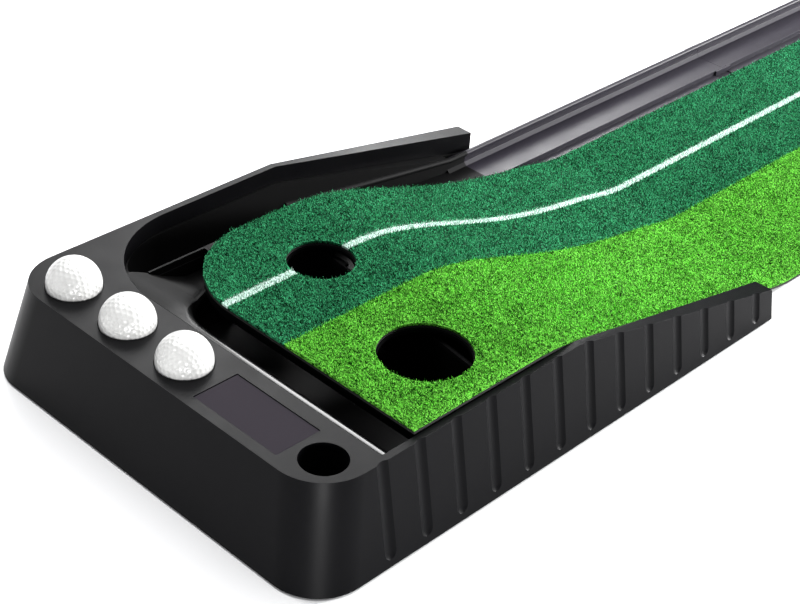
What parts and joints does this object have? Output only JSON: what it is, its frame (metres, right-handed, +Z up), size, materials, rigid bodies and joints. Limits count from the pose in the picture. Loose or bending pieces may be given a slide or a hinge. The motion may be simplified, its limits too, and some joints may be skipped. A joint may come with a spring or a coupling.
{
  "type": "practice putting mat",
  "caption": "Indoor putting mat: carpeted strip rising onto a moulded base with two cups, a ball deck and a gravity return gutter and plug-together track.",
  "frame": {"origin": "centre of the bounding box at the ground", "axes": "+X runs along the mat, away from the ball deck; +Y is the return track's side; +Z is up"},
  "size_m": [2.4998, 0.3768, 0.1063],
  "materials": {
    "casing": "semi-gloss moulded",
    "tray": "gloss moulded",
    "platform": "fine matt",
    "track": "semi-gloss moulded",
    "backing": "matt rubber",
    "turf": "short cut pile in two greens",
    "plate": "satin",
    "ball": "gloss, dimpled",
    "foot": "matt",
    "screw": "zinc plated"
  },
  "bodies": {
    "root": {"base_shell": "casing", "return_tray": "tray", "putting_platform": "platform", "blank_plate": "plate", "rubber_foot_1": "foot", "rubber_foot_2": "foot", "rubber_foot_3": "foot", "rubber_foot_4": "foot", "rubber_foot_5": "foot", "rubber_foot_6": "foot", "platform_screw_1": "screw", "platform_screw_2": "screw", "platform_screw_3": "screw", "platform_screw_4": "screw", "platform_screw_5": "screw", "platform_screw_6": "screw", "tray_screw_1": "screw", "tray_screw_2": "screw", "tray_screw_3": "screw", "tray_screw_4": "screw"},
    "mat": {"mat_backing": "backing", "turf_pile": "turf"},
    "ball_1": {"golf_ball_1": "ball"},
    "ball_2": {"golf_ball_2": "ball"},
    "ball_3": {"golf_ball_3": "ball"},
    "track_1": {"track_section_1": "track"},
    "track_2": {"track_section_2": "track"},
    "track_3": {"track_section_3": "track"},
    "track_4": {"track_section_4": "track"},
    "track_5": {"track_section_5": "track"},
    "end_stop": {"track_end_stop": "track"}
  },
  "joints": [
    {"name": "mat_lift", "type": "slide", "parent": "root", "child": "mat", "axis": [0, 0, 1], "range_m": [0, 0.12]},
    {"name": "ball_1_lift", "type": "slide", "parent": "root", "child": "ball_1", "axis": [0, 0, 1], "range_m": [0, 0.06]},
    {"name": "ball_2_lift", "type": "slide", "parent": "root", "child": "ball_2", "axis": [0, 0, 1], "range_m": [0, 0.06]},
    {"name": "ball_3_lift", "type": "slide", "parent": "root", "child": "ball_3", "axis": [0, 0, 1], "range_m": [0, 0.06]},
    {"name": "track_1_pull", "type": "slide", "parent": "root", "child": "track_1", "axis": [1, 0, 0], "range_m": [0, 0.04]},
    {"name": "track_2_pull", "type": "slide", "parent": "track_1", "child": "track_2", "axis": [1, 0, 0], "range_m": [0, 0.04]},
    {"name": "track_3_pull", "type": "slide", "parent": "track_2", "child": "track_3", "axis": [1, 0, 0], "range_m": [0, 0.04]},
    {"name": "track_4_pull", "type": "slide", "parent": "track_3", "child": "track_4", "axis": [1, 0, 0], "range_m": [0, 0.04]},
    {"name": "track_5_pull", "type": "slide", "parent": "track_4", "child": "track_5", "axis": [1, 0, 0], "range_m": [0, 0.04]},
    {"name": "end_stop_pull", "type": "slide", "parent": "track_5", "child": "end_stop", "axis": [1, 0, 0], "range_m": [0, 0.04]}
  ]
}
